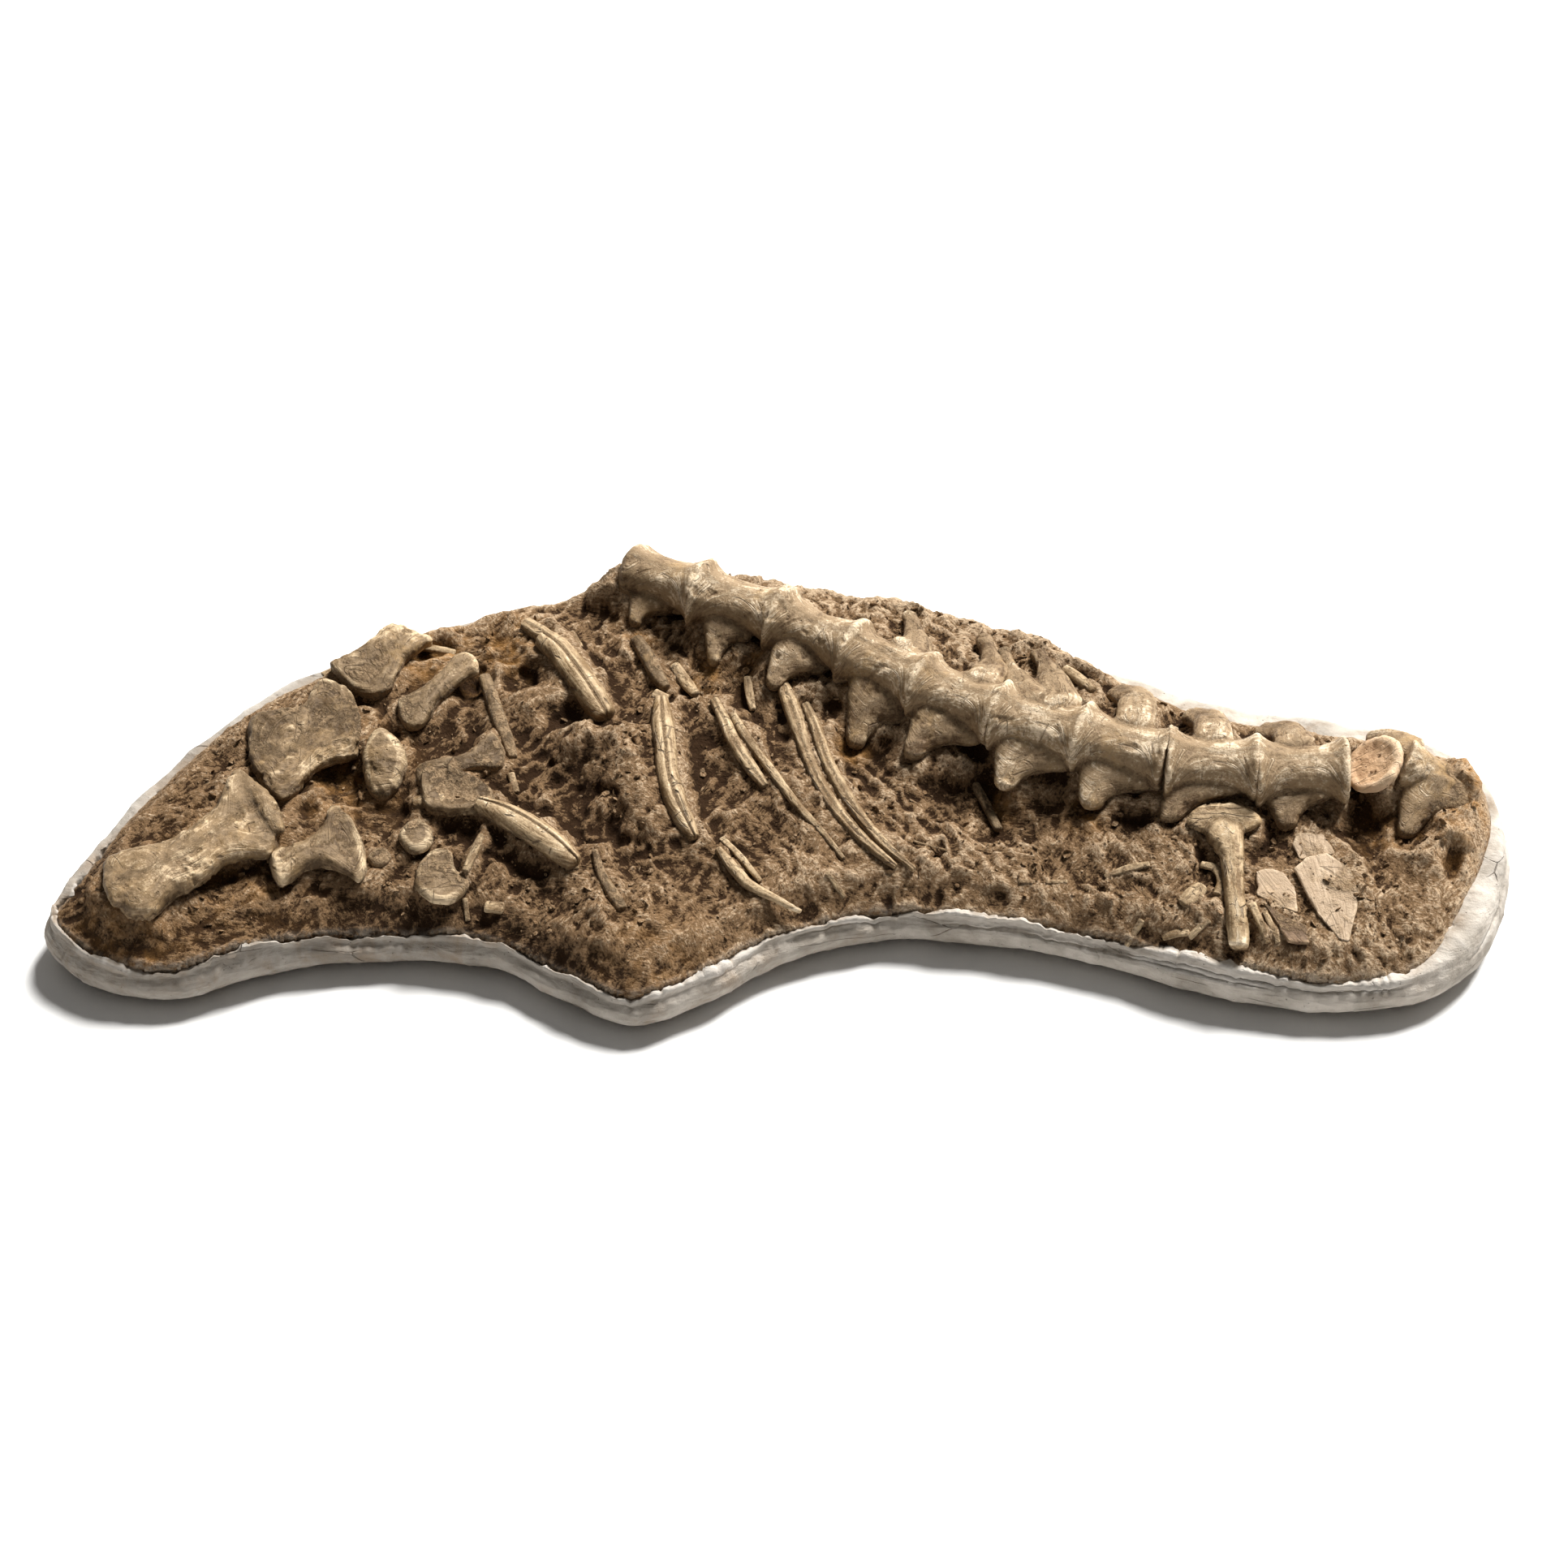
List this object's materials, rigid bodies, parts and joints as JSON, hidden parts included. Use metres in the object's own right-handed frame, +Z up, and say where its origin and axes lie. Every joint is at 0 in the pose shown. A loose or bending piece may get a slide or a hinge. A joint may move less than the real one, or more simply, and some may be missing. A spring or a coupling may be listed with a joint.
{
  "type": "jacketed fossil slab with mosasaur vertebrae, ribs and paddle bones",
  "caption": "Plaster-jacketed block of soft rock carrying a mosasaur's backbone, ribs and paddle bones in relief, lying flat as a display or study specimen.",
  "frame": {"origin": "middle of the plan's bounding box, on the flat underside that rests on the table", "axes": "+X to the right along the block's length, +Y to the back, +Z up, with the specimens facing up"},
  "size_m": [1.283, 0.4958, 0.156],
  "materials": {
    "plaster_jacket": "matte",
    "rock_matrix": "matte",
    "vertebra_01": "matte",
    "vertebra_02": "matte",
    "vertebra_03": "matte",
    "vertebra_04": "matte",
    "vertebra_05": "matte",
    "vertebra_06": "matte",
    "vertebra_07": "matte",
    "vertebra_08": "matte",
    "vertebra_09": "matte",
    "vertebra_10": "matte",
    "rib_01": "matte",
    "rib_02": "matte",
    "rib_03": "matte",
    "rib_04": "matte",
    "rib_05": "matte",
    "rib_06": "matte",
    "rib_07": "matte",
    "rib_08": "matte",
    "rib_09": "matte",
    "rib_10": "matte",
    "rib_11": "matte",
    "rib_12": "matte",
    "rib_13": "matte",
    "rib_14": "matte",
    "limb_bone_long": "matte",
    "limb_bone_small": "matte",
    "limb_bone_fan": "matte",
    "limb_bone_hooked": "matte",
    "phalanx_slender": "matte",
    "phalanx_short": "matte",
    "phalanx_broken": "matte",
    "splint_bone": "matte",
    "club_bone": "matte",
    "carpal_oval": "matte",
    "carpal_round": "matte",
    "carpal_sunk": "matte",
    "carpal_notched": "matte",
    "plate_kite": "matte",
    "plate_upper": "matte",
    "plate_striped": "matte",
    "plate_brown": "matte"
  },
  "bodies": {
    "root": {"plaster_jacket": "plaster_jacket", "rock_matrix": "rock_matrix", "vertebra_01": "vertebra_01", "vertebra_02": "vertebra_02", "vertebra_03": "vertebra_03", "vertebra_04": "vertebra_04", "vertebra_05": "vertebra_05", "vertebra_06": "vertebra_06", "vertebra_07": "vertebra_07", "vertebra_08": "vertebra_08", "vertebra_09": "vertebra_09", "vertebra_10": "vertebra_10", "rib_01": "rib_01", "rib_02": "rib_02", "rib_03": "rib_03", "rib_04": "rib_04", "rib_05": "rib_05", "rib_06": "rib_06", "rib_07": "rib_07", "rib_08": "rib_08", "rib_09": "rib_09", "rib_10": "rib_10", "rib_11": "rib_11", "rib_12": "rib_12", "rib_13": "rib_13", "rib_14": "rib_14", "limb_bone_long": "limb_bone_long", "limb_bone_small": "limb_bone_small", "limb_bone_fan": "limb_bone_fan", "limb_bone_hooked": "limb_bone_hooked", "phalanx_slender": "phalanx_slender", "phalanx_short": "phalanx_short", "phalanx_broken": "phalanx_broken", "splint_bone": "splint_bone", "club_bone": "club_bone", "carpal_oval": "carpal_oval", "carpal_round": "carpal_round", "carpal_sunk": "carpal_sunk", "carpal_notched": "carpal_notched", "plate_kite": "plate_kite", "plate_upper": "plate_upper", "plate_striped": "plate_striped", "plate_brown": "plate_brown"}
  },
  "joints": []
}
